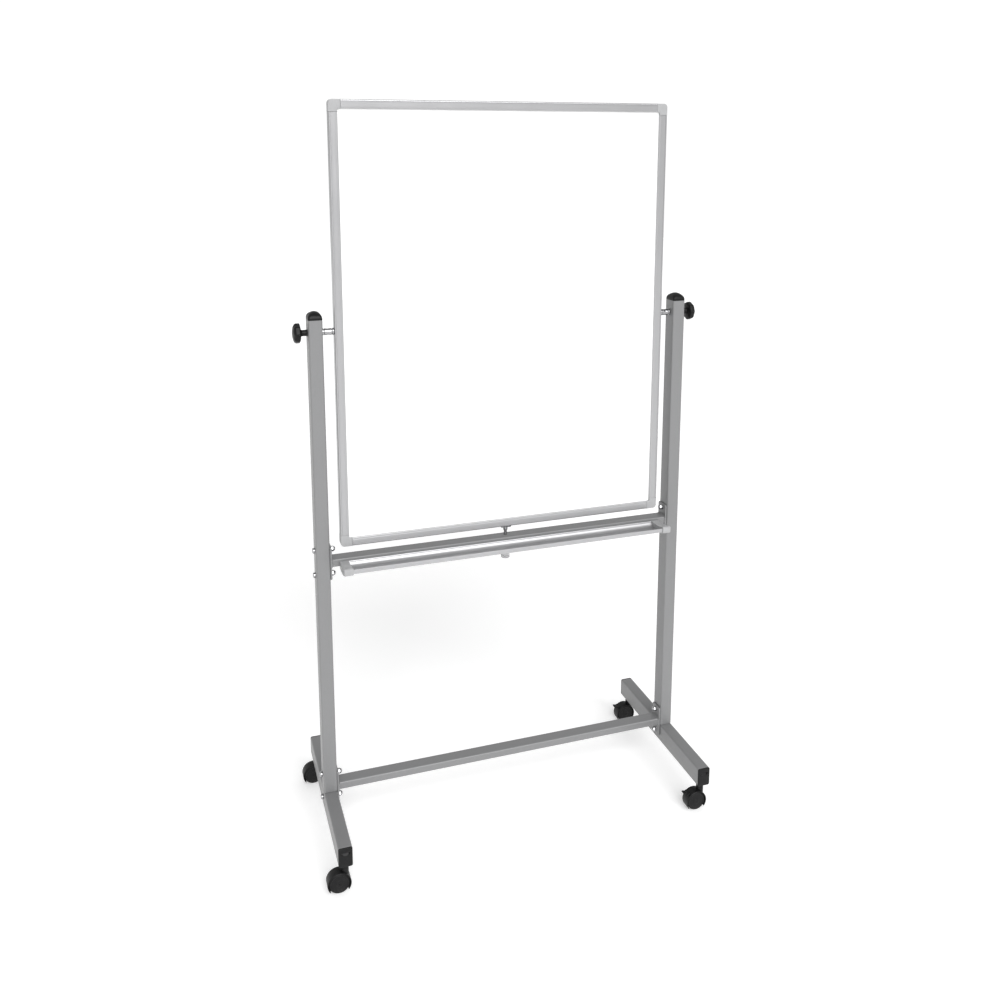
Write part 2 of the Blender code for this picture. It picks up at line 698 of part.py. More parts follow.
def main():
    stand()
    board()
    for side, sign in (("left", -1), ("right", 1)):
        pivot_stud(side, sign)
        clamp_knob(side, sign)
        for end, direction in (("front", -1), ("rear", 1)):
            caster(side, end, sign, direction, side == "right")


clear_scene()
MATERIALS = {name: make_material(name) for name in LOOKS}
main()
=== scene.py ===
import json
import math
import random

import bmesh
import bpy
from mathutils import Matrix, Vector


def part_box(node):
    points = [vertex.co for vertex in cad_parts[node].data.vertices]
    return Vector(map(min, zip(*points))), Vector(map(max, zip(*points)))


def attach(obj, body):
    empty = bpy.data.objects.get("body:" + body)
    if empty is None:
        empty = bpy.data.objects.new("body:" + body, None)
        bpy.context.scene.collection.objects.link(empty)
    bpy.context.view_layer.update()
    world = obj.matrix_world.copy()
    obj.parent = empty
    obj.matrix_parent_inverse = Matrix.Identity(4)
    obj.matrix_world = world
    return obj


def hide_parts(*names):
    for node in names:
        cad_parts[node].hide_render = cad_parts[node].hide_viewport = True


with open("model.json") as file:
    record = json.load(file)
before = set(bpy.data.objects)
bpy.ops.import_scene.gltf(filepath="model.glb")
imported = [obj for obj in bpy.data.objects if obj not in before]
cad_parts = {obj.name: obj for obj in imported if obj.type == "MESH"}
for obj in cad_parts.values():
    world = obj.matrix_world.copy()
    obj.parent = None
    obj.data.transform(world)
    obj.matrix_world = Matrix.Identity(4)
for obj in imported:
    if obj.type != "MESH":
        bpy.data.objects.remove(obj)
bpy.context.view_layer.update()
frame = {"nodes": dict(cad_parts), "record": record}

record = frame["record"]
bodyOf = {node: body for body, nodes in record["behaviour"]["bodies"].items() for node in nodes}
sides = (("left", -1), ("right", 1))
ends = (("front", -1), ("rear", 1))
gap = 0.0003
print("frame loaded:", len(frame["nodes"]), "nodes")


# ---- shader helpers

class Wire:
    # one output socket that can be added, subtracted and multiplied
    def __init__(self, look, socket):
        self.look = look
        self.socket = socket

    def combine(self, operation, other, swapped=False):
        first, second = (other, self) if swapped else (self, other)
        return self.look.add("ShaderNodeMath", {"operation": operation}, {0: first, 1: second})

    def __add__(self, other):
        return self.combine("ADD", other)

    def __radd__(self, other):
        return self.combine("ADD", other, True)

    def __sub__(self, other):
        return self.combine("SUBTRACT", other)

    def __rsub__(self, other):
        return self.combine("SUBTRACT", other, True)

    def __mul__(self, other):
        return self.combine("MULTIPLY", other)

    def __rmul__(self, other):
        return self.combine("MULTIPLY", other, True)


class Look:
    def __init__(self, name, settings):
        self.material = bpy.data.materials.new(name)
        self.material.use_nodes = True
        self.tree = self.material.node_tree
        self.shader = self.tree.nodes["Principled BSDF"]
        for socket, value in settings.items():
            self.shader.inputs[socket].default_value = value
        self.place = self.add("ShaderNodeTexCoord", output="Object")

    def add(self, kind, settings=None, inputs=None, output=0):
        node = self.tree.nodes.new(kind)
        for key, value in (settings or {}).items():
            if key == "stops":
                self.setStops(node.color_ramp, value)
            else:
                setattr(node, key, value)
        for key, value in (inputs or {}).items():
            self.plug(node.inputs[key], value)
        return Wire(self, node.outputs[output])

    def setStops(self, ramp, stops):
        while len(ramp.elements) > 1:
            ramp.elements.remove(ramp.elements[-1])
        ramp.elements[0].position, ramp.elements[0].color = stops[0]
        for position, color in stops[1:]:
            ramp.elements.new(position).color = color

    def plug(self, socket, value):
        if isinstance(value, Wire):
            self.tree.links.new(value.socket, socket)
        else:
            socket.default_value = value

    def feed(self, name, value):
        self.plug(self.shader.inputs[name], value)

    def stretched(self, scale):
        return self.add("ShaderNodeVectorMath", {"operation": "MULTIPLY"}, {0: self.place, 1: scale})

    def noise(self, scale, detail=2.0, roughness=0.5, vector=None):
        inputs = {"Vector": vector or self.place, "Scale": scale, "Detail": detail, "Roughness": roughness}
        return self.add("ShaderNodeTexNoise", {}, inputs, "Fac")

    def cells(self, scale):
        return self.add("ShaderNodeTexVoronoi", {}, {"Vector": self.place, "Scale": scale}, "Distance")

    def cellTone(self, scale):
        tone = self.add("ShaderNodeTexVoronoi", {}, {"Vector": self.place, "Scale": scale}, "Color")
        return self.add("ShaderNodeSeparateColor", {}, {"Color": tone}, "Red")

    def ease(self, value, low, high):
        # 0 below low, 1 above high, smooth between
        inputs = {"Value": value, "From Min": low, "From Max": high}
        return self.add("ShaderNodeMapRange", {"interpolation_type": "SMOOTHSTEP"}, inputs)

    def height(self):
        return self.add("ShaderNodeSeparateXYZ", {}, {"Vector": self.place}, "Z")

    def tint(self, factor, low, high):
        inputs = {0: factor, 6: (*low, 1.0), 7: high if isinstance(high, Wire) else (*high, 1.0)}
        return self.add("ShaderNodeMix", {"data_type": "RGBA"}, inputs, 2)

    def over(self, factor, base, high):
        inputs = {0: factor, 6: base, 7: (*high, 1.0)}
        return self.add("ShaderNodeMix", {"data_type": "RGBA"}, inputs, 2)

    def bump(self, value, distance, strength=1.0, under=None):
        inputs = {"Height": value, "Distance": distance, "Strength": strength}
        if under:
            inputs["Normal"] = under
        return self.add("ShaderNodeBump", {}, inputs, "Normal")


# ---- finishes

powderCoat = {"base": (0.205, 0.206, 0.209), "light": (0.242, 0.243, 0.246), "scuff": (0.33, 0.33, 0.33),
              "dust": (0.33, 0.325, 0.31), "peel": 520.0, "flake": 2600.0,
              "drift": 7.0, "rub": 38.0, "wave": 24.0, "dustBand": (0.068, 0.118)}


def powderSilver():
    # silver paint: fine orange peel, flakes, faint rub marks and a little dust near the floor
    look = Look("powderSilver", {"Metallic": 0.28, "Roughness": 0.46, "Coat Roughness": 0.25})
    flake = look.cellTone(powderCoat["flake"])
    drift = look.noise(powderCoat["drift"], 3.0)
    tone = look.tint(flake * 0.55 + drift * 0.45, powderCoat["base"], powderCoat["light"])
    rub = look.ease(look.noise(powderCoat["rub"], 6.0, 0.72, look.stretched((1.0, 1.0, 0.35))), 0.66, 0.78)
    tone = look.over(rub * 0.22, tone, powderCoat["scuff"])
    dust = (1 - look.ease(look.height(), *powderCoat["dustBand"])) * look.noise(90.0, 4.0)
    tone = look.over(dust * 0.25, tone, powderCoat["dust"])
    look.feed("Base Color", tone)
    look.feed("Roughness", 0.38 + flake * 0.10 + look.noise(140.0, 4.0) * 0.12 + dust * 0.12)
    look.feed("Coat Weight", 0.22 - rub * 0.15)
    peel = look.bump(look.noise(powderCoat["peel"], 2.0, 0.45), 0.00022, 0.42)
    waves = look.bump(look.noise(powderCoat["wave"], 1.0), 0.0012, 0.10, peel)
    look.feed("Normal", look.bump(flake, 0.00004, 0.5, waves))
    return look.material


anodised = {"base": (0.40, 0.40, 0.408), "light": (0.50, 0.50, 0.508), "mark": (0.28, 0.28, 0.29),
            "cloud": 11.0, "nick": 210.0}


def aluminium(name, stretch, metallic=1.0):
    # satin anodised extrusion, with die lines that run along its length
    look = Look(name, {"Metallic": metallic, "Roughness": 0.34})
    lines = look.noise(1.0, 5.0, 0.62, look.stretched(stretch))
    fine = look.noise(1.0, 2.0, 0.5, look.stretched([2.6 * part for part in stretch]))
    cloud = look.noise(anodised["cloud"], 3.0)
    tone = look.tint(lines * 0.6 + cloud * 0.4, anodised["base"], anodised["light"])
    nick = look.ease(look.noise(anodised["nick"], 3.0, 0.6), 0.74, 0.80)
    look.feed("Base Color", look.over(nick * 0.5, tone, anodised["mark"]))
    look.feed("Roughness", 0.27 + lines * 0.12 + cloud * 0.06 + nick * 0.15)
    grain = look.bump(lines, 0.00012, 0.35)
    look.feed("Normal", look.bump(fine, 0.00005, 0.30, grain))
    return look.material


enamel = {"clean": (0.955, 0.955, 0.952), "worn": (0.915, 0.918, 0.922), "ghost": (0.87, 0.885, 0.90),
          "slant": 0.45, "wipes": (5, 5, 60), "ghostSize": 5.5, "ripple": 28.0, "pores": 620.0}


def whiteEnamel():
    # fired gloss coating on steel: long wiping arcs and the faintest ghost of old ink
    look = Look("whiteEnamel", {"Metallic": 0.0, "Roughness": 0.14, "IOR": 1.5, "Coat Roughness": 0.06})
    bent = look.add("ShaderNodeVectorMath", {"operation": "MULTIPLY_ADD"},
                    {0: look.add("ShaderNodeTexNoise", {}, {"Vector": look.place, "Scale": 2.2}, "Color"),
                     1: (0.5, 0.5, 0.5), 2: look.place})
    slanted = look.add("ShaderNodeMapping", {}, {"Vector": bent, "Rotation": (0.0, enamel["slant"], 0.0),
                                                 "Scale": enamel["wipes"]})
    wipes = look.noise(1.0, 5.0, 0.60, slanted)
    ghost = look.ease(look.noise(enamel["ghostSize"], 4.0, 0.55), 0.56, 0.80)
    tone = look.tint(look.ease(wipes, 0.46, 0.75) * 0.7, enamel["clean"], enamel["worn"])
    look.feed("Base Color", look.over(ghost * 0.20, tone, enamel["ghost"]))
    look.feed("Roughness", 0.09 + wipes * 0.12 + ghost * 0.05)
    look.feed("Coat Weight", 0.75 - ghost * 0.35)
    ripple = look.bump(look.noise(enamel["ripple"], 1.0), 0.0010, 0.05)
    look.feed("Normal", look.bump(look.noise(enamel["pores"], 2.0), 0.00006, 0.10, ripple))
    return look.material


mouldedGrey = {"base": (0.335, 0.337, 0.342), "light": (0.395, 0.397, 0.402), "scuff": (0.52, 0.52, 0.52),
               "grain": 1500.0, "flow": 55.0, "scuffSize": 260.0}


def greyPlastic():
    look = Look("mouldedGrey", {"Metallic": 0.0, "Roughness": 0.42, "Coat Roughness": 0.3})
    grain = look.cells(mouldedGrey["grain"])
    flow = look.noise(mouldedGrey["flow"], 3.0)
    tone = look.tint(flow, mouldedGrey["base"], mouldedGrey["light"])
    scuff = look.ease(look.noise(mouldedGrey["scuffSize"], 6.0, 0.75), 0.66, 0.76)
    look.feed("Base Color", look.over(scuff * 0.35, tone, mouldedGrey["scuff"]))
    look.feed("Roughness", 0.36 + flow * 0.10 + scuff * 0.15)
    look.feed("Coat Weight", 0.10 + flow * 0.10)
    look.feed("Normal", look.bump(grain, 0.00010, 0.32))
    return look.material


mouldedBlack = {"base": (0.004, 0.004, 0.0043), "light": (0.009, 0.009, 0.0093), "scuff": (0.06, 0.06, 0.06),
                "dust": (0.10, 0.098, 0.093), "gloss": 0.18,
                "flow": 70.0, "scuffSize": 300.0, "dustSize": 420.0}


def blackPlastic(name, grainScale, dustTop, shine):
    # pebbled moulding with pale scuffs; dust gathers below dustTop
    look = Look(name, {"Metallic": 0.0, "Roughness": shine, "Coat Roughness": 0.25,
                       "Specular IOR Level": mouldedBlack["gloss"]})
    grain = look.cells(grainScale)
    flow = look.noise(mouldedBlack["flow"], 3.0)
    tone = look.tint(flow, mouldedBlack["base"], mouldedBlack["light"])
    scuff = look.ease(look.noise(mouldedBlack["scuffSize"], 7.0, 0.78), 0.68, 0.79)
    tone = look.over(scuff * 0.40, tone, mouldedBlack["scuff"])
    specks = look.ease(look.noise(mouldedBlack["dustSize"], 5.0, 0.7), 0.38, 0.72)
    dust = (1 - look.ease(look.height(), 0.0, dustTop)) * specks
    look.feed("Base Color", look.over(dust * 0.30, tone, mouldedBlack["dust"]))
    look.feed("Roughness", shine - 0.06 + flow * 0.12 + scuff * 0.18 + dust * 0.25)
    look.feed("Coat Weight", 0.06 - scuff * 0.05)
    look.feed("Normal", look.bump(grain, 0.00012, 0.35))
    return look.material


plating = {"base": (0.33, 0.33, 0.338), "light": (0.50, 0.50, 0.508), "tarnish": (0.20, 0.195, 0.19),
           "cloud": 160.0, "spots": 700.0, "grain": 900.0}


def platedSteel():
    look = Look("platedSteel", {"Metallic": 1.0, "Roughness": 0.18})
    cloud = look.noise(plating["cloud"], 4.0, 0.6)
    tone = look.tint(cloud, plating["base"], plating["light"])
    spots = look.ease(look.noise(plating["spots"], 5.0, 0.7), 0.66, 0.78)
    look.feed("Base Color", look.over(spots * 0.45, tone, plating["tarnish"]))
    look.feed("Roughness", 0.11 + cloud * 0.12 + spots * 0.22)
    look.feed("Normal", look.bump(look.noise(plating["grain"], 3.0), 0.00004, 0.35))
    return look.material


fibreboard = {"base": (0.40, 0.30, 0.20), "light": (0.58, 0.47, 0.34), "fibres": (420.0, 1600.0, 420.0)}


def coreBoard():
    look = Look("coreBoard", {"Metallic": 0.0, "Roughness": 0.85})
    fibre = look.noise(1.0, 6.0, 0.7, look.stretched(fibreboard["fibres"]))
    look.feed("Base Color", look.tint(fibre, fibreboard["base"], fibreboard["light"]))
    look.feed("Roughness", 0.75 + fibre * 0.2)
    look.feed("Normal", look.bump(fibre, 0.0002, 0.6))
    return look.material


paleFloor = {"base": (0.90, 0.90, 0.90), "light": (0.93, 0.93, 0.93), "glow": 0.26, "half": 14.0,
             "cloud": 1.2, "grain": 150.0}


def floorLook():
    look = Look("paleFloor", {"Metallic": 0.0, "Roughness": 0.7, "Emission Color": (1.0, 1.0, 1.0, 1.0),
                              "Emission Strength": paleFloor["glow"]})
    cloud = look.noise(paleFloor["cloud"], 3.0)
    look.feed("Base Color", look.tint(cloud, paleFloor["base"], paleFloor["light"]))
    look.feed("Roughness", 0.62 + cloud * 0.12)
    look.feed("Normal", look.bump(look.noise(paleFloor["grain"], 3.0), 0.0004, 0.05))
    return look.material


silver = powderSilver()
levelLines = (9.0, 1500.0, 1500.0)
alongZ = aluminium("anodisedUpright", (1500.0, 1500.0, 9.0))
alongX = aluminium("anodisedLevel", levelLines)
trayMetal = aluminium("anodisedTray", levelLines, 0.80)
enamelWhite = whiteEnamel()
greyMould = greyPlastic()
blackMould = blackPlastic("mouldedBlack", 1300.0, 0.060, 0.40)
wheelBlack = blackPlastic("wheelBlack", 2200.0, 0.020, 0.48)
steel = platedSteel()
core = coreBoard()
print("finishes made:", len(bpy.data.materials))


# ---- shape helpers

def arc(center, radius, start, end, steps):
    points = []
    for k in range(steps + 1):
        angle = math.radians(start + (end - start) * k / steps)
        points.append((center[0] + radius * math.cos(angle), center[1] + radius * math.sin(angle)))
    return points


def rounded(width, height, radius, steps=7):
    a = width / 2 - radius
    b = height / 2 - radius
    points = []
    for cx, cy, start in ((a, b, 0), (-a, b, 90), (-a, -b, 180), (a, -b, 270)):
        points += arc((cx, cy), radius, start, start + 90, steps)
    return points


def circle(radius, count=64, lobes=0, depth=0.0, flats=0.0):
    # round, lobed, or six-sided with flats blending from 0 (round) to 1 (sharp hexagon)
    points = []
    for k in range(count):
        angle = 2 * math.pi * k / count
        reach = radius
        if lobes:
            reach *= 1 - depth * (0.5 - 0.5 * math.cos(lobes * angle))
        if flats:
            part = math.pi / 6
            straight = radius * math.cos(part) / math.cos(angle % (2 * part) - part)
            reach += (straight - reach) * flats
        points.append((reach * math.cos(angle), reach * math.sin(angle)))
    return points


def lay(axis, outline, station, center=(0.0, 0.0, 0.0)):
    x, y, z = center
    if axis == "x":
        return [(station, y + u, z + v) for u, v in outline]
    if axis == "y":
        return [(x + u, station, z + v) for u, v in outline]
    return [(x + u, y + v, station) for u, v in outline]


def skin(bm, rings, closed=False, capped=True):
    rows = [[bm.verts.new(point) for point in ring] for ring in rings]
    count = len(rings[0])
    pairs = list(zip(rows, rows[1:]))
    if closed:
        pairs.append((rows[-1], rows[0]))
    made = []
    for low, high in pairs:
        for i in range(count):
            j = (i + 1) % count
            made.append(bm.faces.new((low[i], low[j], high[j], high[i])))
    if capped and not closed:
        made.append(bm.faces.new(rows[0][::-1]))
        made.append(bm.faces.new(rows[-1]))
    bmesh.ops.recalc_face_normals(bm, faces=made)
    return bm


def turn(bm, axis, profile, center, count=64, closed=False):
    # profile rows: station from the centre along the axis, radius, and how its ring differs from round
    base = center["xyz".index(axis)]
    rings = [lay(axis, circle(row[1], count, **(row[2] if len(row) > 2 else {})), base + row[0], center)
             for row in profile]
    return skin(bm, rings, closed=closed)


def soften(profile, radius, steps=4):
    # rounds the corners of a (station, radius) profile that has no extra ring styles
    result = [profile[0]]
    for before, here, after in zip(profile, profile[1:], profile[2:]):
        a, b, c = Vector(before[:2]), Vector(here[:2]), Vector(after[:2])
        cut = min(radius, (a - b).length * 0.45, (c - b).length * 0.45)
        first = b + (a - b).normalized() * cut
        last = b + (c - b).normalized() * cut
        for k in range(steps + 1):
            t = k / steps
            point = first * (1 - t) ** 2 + b * 2 * t * (1 - t) + last * t ** 2
            result.append((point.x, point.y))
    result.append(profile[-1])
    return result


def through(points, steps=4):
    # smooth curve through the points
    result = []
    for i in range(len(points) - 1):
        p0, p1 = Vector(points[max(i - 1, 0)]), Vector(points[i])
        p2, p3 = Vector(points[i + 1]), Vector(points[min(i + 2, len(points) - 1)])
        for k in range(steps):
            t = k / steps
            spot = 0.5 * ((2 * p1) + (p2 - p0) * t + (2 * p0 - 5 * p1 + 4 * p2 - p3) * t * t
                          + (3 * p1 - p0 - 3 * p2 + p3) * t ** 3)
            result.append((spot.x, spot.y))
    result.append(tuple(points[-1]))
    return result


def newObject(name, bm, look=None, sharp=38):
    bmesh.ops.remove_doubles(bm, verts=bm.verts, dist=1e-6)
    mesh = bpy.data.meshes.new(name)
    bm.to_mesh(mesh)
    bm.free()
    mesh.shade_smooth()
    mesh.set_sharp_from_angle(angle=math.radians(sharp))
    obj = bpy.data.objects.new(name, mesh)
    bpy.context.scene.collection.objects.link(obj)
    if look:
        mesh.materials.append(look)
    return obj


def settle(obj, sharp=38):
    # applies the modifiers
    graph = bpy.context.evaluated_depsgraph_get()
    graph.update()
    mesh = bpy.data.meshes.new_from_object(obj.evaluated_get(graph))
    obj.modifiers.clear()
    old = obj.data
    obj.data = mesh
    bpy.data.meshes.remove(old)
    mesh.shade_smooth()
    mesh.set_sharp_from_angle(angle=math.radians(sharp))
    return obj


def carve(obj, tools, operation="DIFFERENCE", sharp=38):
    for bm in tools:
        tool = newObject("tool", bm)
        cut = obj.modifiers.new("carve", "BOOLEAN")
        cut.operation = operation
        cut.solver = "EXACT"
        cut.object = tool
        settle(obj, sharp)
        bpy.data.objects.remove(tool, do_unlink=True)
    return obj


def standFor(obj, node):
    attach(obj, bodyOf[node])
    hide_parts(node)
    return obj


def piece(node, bm, look, sharp=38):
    return standFor(newObject(node + "_fine", bm, look, sharp), node)


def middle(node):
    low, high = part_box(node)
    return (low + high) / 2


def wallTube(bm, axis, low, high, center, size, radius, wall, lip):
    # open tube with a small softened edge at both ends
    width, height = size
    outer = rounded(width, height, radius)
    trimmed = rounded(width - 2 * lip, height - 2 * lip, radius - lip)
    inner = rounded(width - 2 * wall, height - 2 * wall, radius - wall)
    rows = ((trimmed, low), (outer, low + lip), (outer, high - lip), (trimmed, high), (inner, high),
            (inner, low))
    skin(bm, [lay(axis, outline, station, center) for outline, station in rows], closed=True)
    return bm


def block(low, high):
    bm = bmesh.new()
    square = [(low[0], low[1]), (high[0], low[1]), (high[0], high[1]), (low[0], high[1])]
    return skin(bm, [lay("z", square, z) for z in (low[2], high[2])])


# ---- stand

tubing = {"wall": 0.002, "radius": 0.0042, "lip": 0.0004}


def makePost(side):
    node = side + "_post"
    low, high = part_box(node)
    size = (high.x - low.x, high.y - low.y)
    bm = wallTube(bmesh.new(), "z", low.z, high.z, middle(node), size, **tubing)
    return piece(node, bm, silver)


def makeFoot(side):
    node = side + "_foot"
    low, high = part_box(node)
    size = (high.x - low.x, high.z - low.z)
    bm = wallTube(bmesh.new(), "y", low.y, high.y, middle(node), size, **tubing)
    return piece(node, bm, silver)


postDome = {"rim": 0.0022, "skirt": 0.0137, "skirtGap": 0.0023, "rings": 14, "corner": 0.0042,
            "skirtCorner": 0.0018, "flare": 0.010, "fullness": 0.92}


def makePostCap(side):
    node = side + "_post_cap"
    low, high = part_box(node)
    center = middle(node)
    width, depth = high.x - low.x, high.y - low.y
    base = low.z + postDome["skirt"] + gap
    inset = 2 * postDome["skirtGap"]
    skirt = postDome["skirtCorner"]
    rows = [(low.z, width - inset, depth - inset, skirt), (base, width - inset, depth - inset, skirt)]
    rows += [(base, width - 2 * gap, depth - 2 * gap, postDome["corner"] - gap)]
    rows += [(base + 0.0004, width, depth, postDome["corner"])]
    rise = high.z - base - postDome["rim"]
    for k in range(postDome["rings"]):
        angle = math.pi / 2 * k / (postDome["rings"] - 0.7)
        share = math.cos(angle) ** postDome["fullness"]
        radius = min(postDome["corner"] + (1 - share) * postDome["flare"], width * share / 2 - 0.0001)
        rows.append((base + postDome["rim"] + rise * math.sin(angle), width * share, depth * share, radius))
    rows[-1] = (high.z, *rows[-1][1:])
    rings = [lay("z", rounded(w, d, r), z, center) for z, w, d, r in rows]
    return piece(node, skin(bmesh.new(), rings), blackMould)


footPlug = {"plug": 0.0068, "inset": -0.0047, "plugCorner": 0.0018, "face": 0.0040, "rim": 0.0016,
            "crown": 0.0020, "crownShrink": -0.0040, "flat": -0.0120, "flatCorner": 0.0034,
            "scoopWidth": 0.0200, "scoopDrop": 0.0105, "scoopDepth": 0.0072, "scoopTall": 0.0084}


def makeFootCap(side, end, direction):
    node = f"{side}_foot_cap_{end}"
    low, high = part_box(node)
    center = middle(node)
    width, height = high.x - low.x, high.z - low.z
    outer = max(abs(low.y), abs(high.y))
    start = outer - footPlug["face"]
    inset, small, rim = footPlug["inset"], footPlug["plugCorner"], footPlug["rim"]
    rows = [(start - footPlug["plug"], inset, small), (start, inset, small), (start, -0.0006, 0.0040)]
    rows += [(start + 0.0003, 0.0, tubing["radius"]), (start + rim, 0.0, tubing["radius"])]
    for k in range(1, 7):
        angle = math.pi / 2 * k / 6
        rows.append((start + rim + footPlug["crown"] * math.sin(angle),
                     footPlug["crownShrink"] * (1 - math.cos(angle)), 0.0040))
    rows.append((outer, footPlug["flat"], footPlug["flatCorner"]))
    rings = [lay("y", rounded(width + grow, height + grow, r), direction * y, center) for y, grow, r in rows]
    obj = newObject(node + "_fine", skin(bmesh.new(), rings), blackMould)
    # thumb scoop: a half disc with its straight side up, deepest there, its floor rising to the face below
    top = high.z - footPlug["scoopDrop"]
    half, tall, deep = footPlug["scoopWidth"] / 2, footPlug["scoopTall"], footPlug["scoopDepth"]
    moon = arc((0.0, 0.0), 1.0, 180, 360, 28)
    rings = [[(center.x + u * half, direction * (outer - deep * (1 + v)), top + v * tall) for u, v in moon],
             [(center.x + u * half, direction * (outer + 0.002), top + v * tall) for u, v in moon]]
    carve(obj, [skin(bmesh.new(), rings)])
    return standFor(obj, node)


crossTube = {"depth": 0.034, "height": 0.019, "corner": 0.0032, "plate": 0.004, "plateCorner": 0.0045,
             "edge": 0.0006, "bead": 0.0019, "beadSteps": 90}


def beadAround(bm, x, z, toward):
    # weld bead between bar and plate, slightly rippled
    steps = crossTube["beadSteps"]
    outline = rounded(crossTube["depth"], crossTube["height"], crossTube["corner"], 5)
    length = len(outline)
    rings = []
    for k in range(steps):
        share = k / steps * length
        i = int(share)
        a, b = Vector(outline[i]), Vector(outline[(i + 1) % length])
        spot = a.lerp(b, share - i)
        out = spot.normalized()
        size = crossTube["bead"] * (0.86 + 0.16 * math.sin(k * 1.9) + random.uniform(-0.05, 0.05))
        ring = []
        for u, v in circle(size, 10):
            ring.append((x + toward * (u + size * 0.15), spot.x + out.x * v, z + spot.y + out.y * v))
        rings.append(ring)
    return skin(bm, rings, closed=True)


def makeCrossbar(node):
    low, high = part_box(node)
    z = (low.z + high.z) / 2
    plate = crossTube["plate"]
    edge = crossTube["edge"]
    bm = bmesh.new()
    bar = rounded(crossTube["depth"], crossTube["height"], crossTube["corner"])
    stations = (low.x + plate * 0.6, high.x - plate * 0.6)
    skin(bm, [lay("x", bar, x, (0.0, 0.0, z)) for x in stations])
    width, height = high.y - low.y, high.z - low.z
    for start, sign in ((low.x, 1), (high.x, -1)):
        rings = []
        for run, shrink in ((0.0, edge), (edge, 0.0), (plate - edge, 0.0), (plate, edge)):
            outline = rounded(width - 2 * shrink, height - 2 * shrink, crossTube["plateCorner"] - shrink)
            rings.append(lay("x", outline, start + sign * run, (0.0, 0.0, z)))
        skin(bm, rings)
        beadAround(bm, start + sign * plate, z, sign)
    return piece(node, bm, silver)


boltShape = {"washer": 0.0067, "washerThick": 0.0009, "hexTall": 0.0052, "hex": 0.0066, "dome": 0.0050,
             "tip": 0.0006, "shank": 0.0037, "head": 0.0063, "crown": 0.0021}


def makeBolt(node, side, sign):
    # cap nut and washer on the inner side, round head on the outer side
    low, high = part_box(node)
    center = middle(node)
    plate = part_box("lower_crossbar")[1].x - crossTube["plate"]
    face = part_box("right_post")[1].x
    nutEnd = min(abs(low.x), abs(high.x))
    headEnd = max(abs(low.x), abs(high.x))
    hexagon = {"flats": 1.0}
    softHex = {"flats": 0.72}
    seat = plate - gap
    nut = seat - boltShape["washerThick"]
    top = nut - boltShape["hexTall"]
    rows = []
    for k in range(7):
        angle = math.pi / 2 * k / 6
        rows.append((nutEnd + (top - nutEnd) * (1 - math.cos(angle)),
                     boltShape["tip"] + boltShape["dome"] * math.sin(angle)))
    rows += [(top, boltShape["hex"] * 0.93, softHex), (top + 0.0007, boltShape["hex"], hexagon)]
    rows += [(nut - 0.0005, boltShape["hex"], hexagon), (nut, boltShape["hex"] * 0.95, softHex)]
    rows += [(nut, boltShape["washer"] - 0.0002), (nut + 0.0002, boltShape["washer"])]
    rows += [(seat, boltShape["washer"]), (seat, boltShape["shank"]), (face + gap, boltShape["shank"])]
    head, crown = boltShape["head"], boltShape["crown"]
    rows += [(face + gap, head - 0.0004), (face + gap + 0.0004, head)]
    for k in range(8):
        angle = math.pi / 2 * k / 7
        rows.append((headEnd - crown + crown * math.sin(angle),
                     0.0008 + (head - 0.0008) * math.cos(angle) ** 0.6))
    rows = [(sign * row[0], *row[1:]) for row in rows]
    bm = turn(bmesh.new(), "x", rows, (0.0, center.y, center.z), 48)
    return piece(node, bm, steel, 30)


# the tray's section, measured from its front edge and the top of its lip: u towards the rear, v up
trough = {
    "flange": [(0.0922, -0.0156), (0.0629, -0.0156), (0.0629, -0.0046), (0.0626, -0.0040)],
    "top": [(0.0617, -0.0038), (0.0612, -0.0048), (0.0600, -0.0084), (0.0564, -0.0128), (0.0510, -0.0156),
            (0.0432, -0.0169), (0.0342, -0.0169), (0.0252, -0.0158), (0.0172, -0.0137), (0.0102, -0.0104),
            (0.0052, -0.0062), (0.0024, -0.0012), (0.0017, 0.0000)],
    "lip": [(0.0006, -0.0002), (0.0000, -0.0012), (0.0000, -0.0090), (0.0004, -0.0098), (0.0012, -0.0100),
            (0.0030, -0.0082)],
    "under": [(0.0030, -0.0082), (0.0087, -0.0114), (0.0162, -0.0150), (0.0247, -0.0172), (0.0342, -0.0183),
              (0.0442, -0.0185), (0.0542, -0.0181), (0.0612, -0.0174)],
    "heel": [(0.0922, -0.0174)],
    "hole": 0.0056,
}


def trayOutline():
    low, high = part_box("marker_tray")
    outline = trough["flange"] + through(trough["top"], 5) + through(trough["lip"], 3)
    outline += through(trough["under"], 4)[1:] + trough["heel"]
    return [(low.y + u, high.z + v) for u, v in outline]


def makeTray():
    low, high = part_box("marker_tray")
    outline = trayOutline()
    rings = [lay("x", outline, x) for x in (low.x, high.x)]
    obj = newObject("marker_tray_fine", skin(bmesh.new(), rings), trayMetal, 32)
    # the latch rod passes through the flange
    radius = trough["hole"]
    hole = turn(bmesh.new(), "z", [(low.z - 0.002, radius), (high.z, radius)], (0.0, 0.0, 0.0), 40)
    carve(obj, [hole], sharp=32)
    return standFor(obj, "marker_tray")


def grown(points, amount):
    result = []
    for i in range(len(points)):
        before, here, after = (Vector(points[(i + k) % len(points)]) for k in (-1, 0, 1))
        first = (here - before).normalized()
        second = (after - here).normalized()
        normal = Vector((first.y + second.y, -first.x - second.x)).normalized()
        across = max(0.4, normal.dot(Vector((first.y, -first.x))))
        result.append(tuple(here + normal * (amount / across)))
    return result


